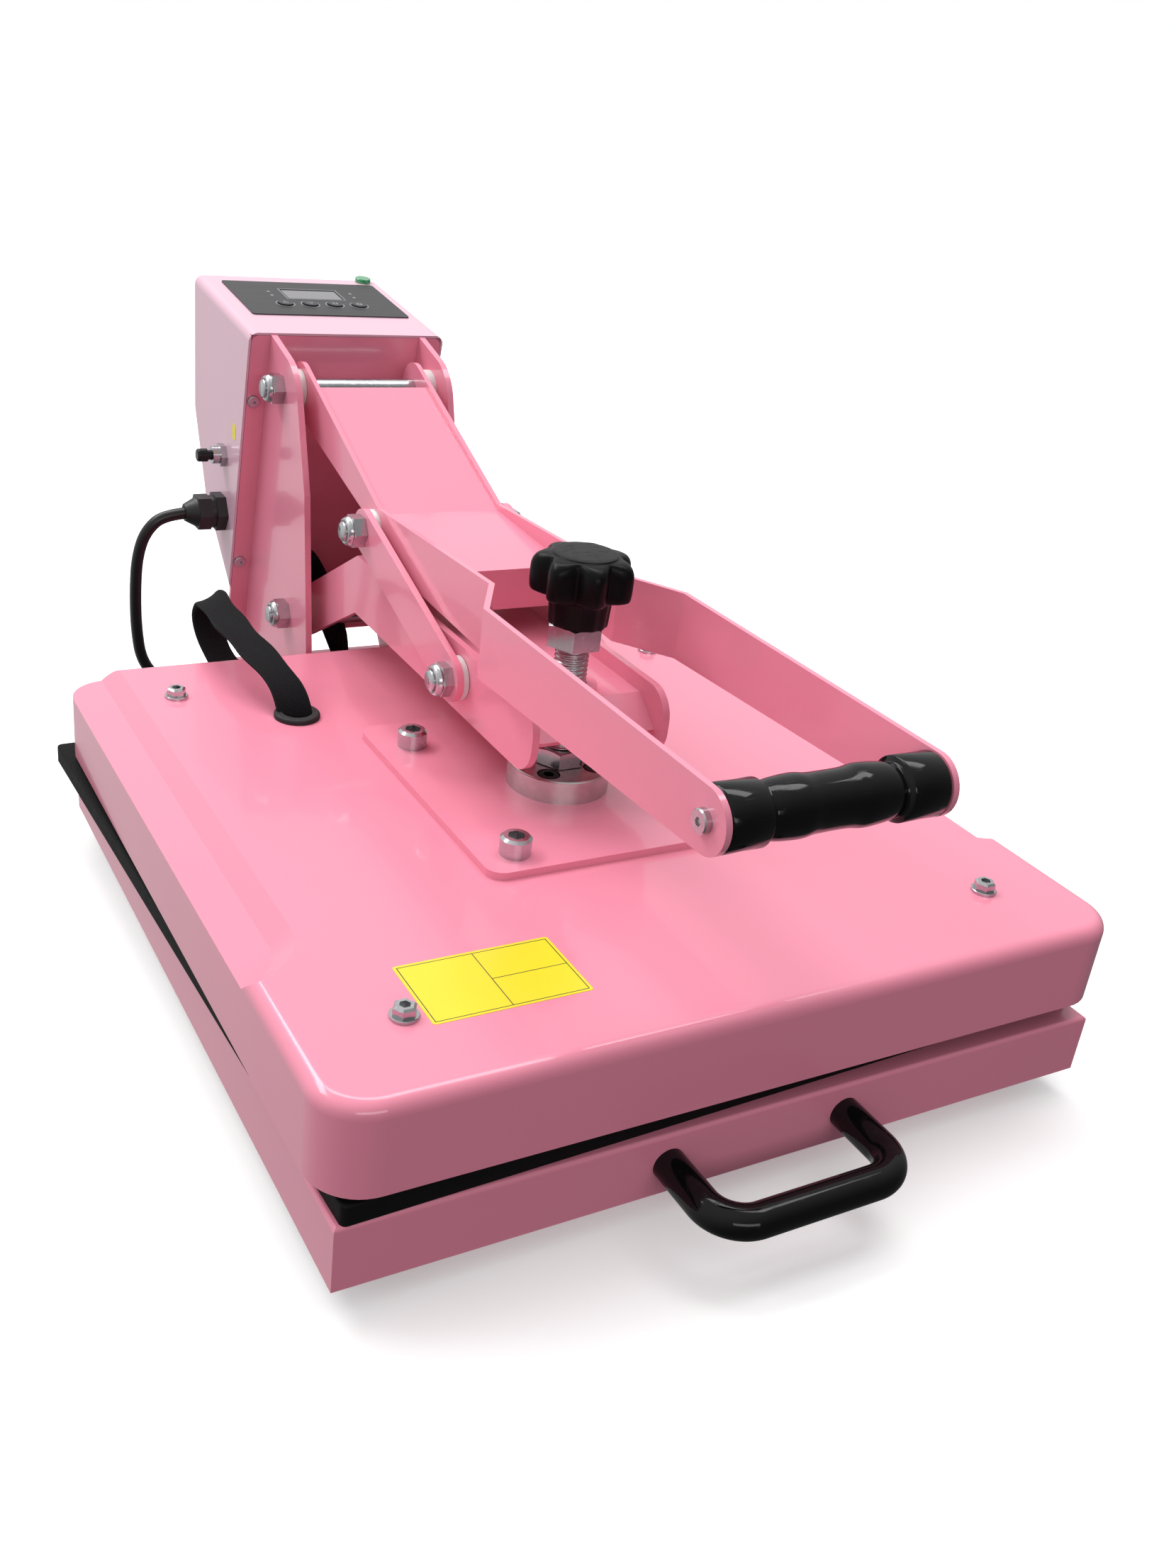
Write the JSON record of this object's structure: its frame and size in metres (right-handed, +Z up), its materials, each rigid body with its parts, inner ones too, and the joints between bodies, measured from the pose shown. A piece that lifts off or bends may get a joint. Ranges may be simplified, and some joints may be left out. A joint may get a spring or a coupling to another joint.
{
  "type": "heat press",
  "caption": "Clamshell heat press: square heated platen on a toggle-lifted arm over a pull-out padded lower drawer, with a rear control box, pressure knob and mains cord.",
  "frame": {"origin": "on the floor, under the middle of the press", "axes": "+Z up, +Y to the rear where the column stands, +X to the right of a user standing at -Y"},
  "size_m": [0.4257, 0.713, 0.293],
  "materials": {
    "pink_coat": "glossy powder coat",
    "lilac_coat": "semi-gloss powder coat",
    "bright_zinc": "bright plated",
    "turned_steel": "turned",
    "black_oxide": "satin black",
    "white_nylon": "smooth",
    "black_gloss": "moulded gloss",
    "black_cap": "moulded",
    "silicone": "soft foam silicone",
    "foot_rubber": "moulded",
    "gland_nylon": "moulded",
    "plate_alloy": "satin, non-stick",
    "heater_sheath": "dull",
    "mineral_wool": "fibrous",
    "rail_zinc": "zinc plated",
    "panel_film": "printed film",
    "lcd_glass": "display window",
    "key_film": "membrane",
    "green_lens": "lens",
    "braided_sleeve": "braided",
    "cord_jacket": "smooth jacket",
    "pin_brass": "bright",
    "board_green": "solder mask",
    "relay_case": "moulded"
  },
  "bodies": {
    "base": {"base_frame": "pink_coat", "sole_plate": "pink_coat", "rubber_feet": "foot_rubber", "column_cheek_left": "pink_coat", "column_cheek_right": "pink_coat", "column_face": "pink_coat", "face_screws": "bright_zinc", "control_box": "lilac_coat", "display_panel": "panel_film", "lcd_module": "lcd_glass", "membrane_keys": "key_film", "pilot_lamp": "green_lens", "button_bush": "bright_zinc", "cable_gland": "gland_nylon", "circuit_boards": "board_green", "relay_and_terminals": "relay_case", "fixed_rails": "rail_zinc", "pivot_bolts": "bright_zinc", "pivot_washers": "white_nylon", "heater_sleeve": "braided_sleeve", "power_cord": "cord_jacket", "cord_coil": "cord_jacket", "plug_body": "cord_jacket", "plug_pins": "pin_brass"},
    "drawer": {"drawer_tray": "pink_coat", "silicone_pad": "silicone", "drawer_pull": "black_gloss", "pull_screws": "bright_zinc", "drawer_rails": "rail_zinc"},
    "middle_slides": {"middle_rails": "rail_zinc"},
    "handle": {"handle_plate_left": "pink_coat", "handle_plate_right": "pink_coat", "yoke_web": "pink_coat", "grip": "black_gloss", "grip_bolt": "bright_zinc", "knee_bolt": "bright_zinc", "knee_washers": "white_nylon"},
    "links": {"link_plates": "pink_coat", "front_studs": "bright_zinc", "front_washers": "white_nylon"},
    "arm": {"arm_cheek_left": "pink_coat", "arm_cheek_right": "pink_coat", "arm_web": "pink_coat", "arm_spacer": "bright_zinc"},
    "platen": {"cover": "pink_coat", "heating_plate": "plate_alloy", "heater_element": "heater_sheath", "insulation_blanket": "mineral_wool", "temperature_probe": "heater_sheath", "platen_posts": "rail_zinc", "mount_plate": "pink_coat", "cap_screws": "bright_zinc", "cover_screws": "bright_zinc", "flange": "turned_steel", "flange_screws": "black_oxide", "grommet": "foot_rubber"},
    "spindle": {"spindle_rod": "bright_zinc", "spindle_nuts": "bright_zinc", "knob": "black_gloss"},
    "button": {"mains_button": "black_cap"}
  },
  "joints": [
    {"name": "handle_lift", "type": "hinge", "parent": "base", "child": "handle", "pos_m": [0, 0.212, 0.2455], "axis": [-1, 0, 0], "range_deg": [0, 80]},
    {"name": "arm_lift", "type": "hinge", "parent": "base", "child": "arm", "pos_m": [0, 0.1915, 0.1025], "axis": [-1, 0, 0], "range_deg": [0, 36.6], "deforming": ["heater_sleeve"]},
    {"name": "link_swing", "type": "hinge", "parent": "handle", "child": "links", "pos_m": [0, 0.082, 0.194], "axis": [-1, 0, 0], "range_deg": [-99.2, 0]},
    {"name": "platen_height", "type": "slide", "parent": "arm", "child": "platen", "axis": [0, 0, 1], "range_m": [0, 0.006]},
    {"name": "spindle_turn", "type": "hinge", "parent": "platen", "child": "spindle", "pos_m": [0, -0.0905, 0.2], "axis": [0, 0, 1], "range_deg": [0, 864]},
    {"name": "drawer_slide", "type": "slide", "parent": "base", "child": "drawer", "axis": [0, -1, 0], "range_m": [0, 0.33]},
    {"name": "middle_slide", "type": "slide", "parent": "base", "child": "middle_slides", "axis": [0, -1, 0], "range_m": [0, 0.165]},
    {"name": "button_press", "type": "slide", "parent": "base", "child": "button", "axis": [1, 0, 0], "range_m": [0, 0.0025], "stiffness_N_per_m": 400}
  ],
  "couplings": [
    {"joint": "arm_lift", "follows": "handle_lift", "ratio": 0.4575},
    {"joint": "link_swing", "follows": "handle_lift", "ratio": -1.239},
    {"joint": "spindle_turn", "follows": "platen_height", "rad_per_m": 2513.3},
    {"joint": "middle_slide", "follows": "drawer_slide", "ratio": 0.5}
  ]
}
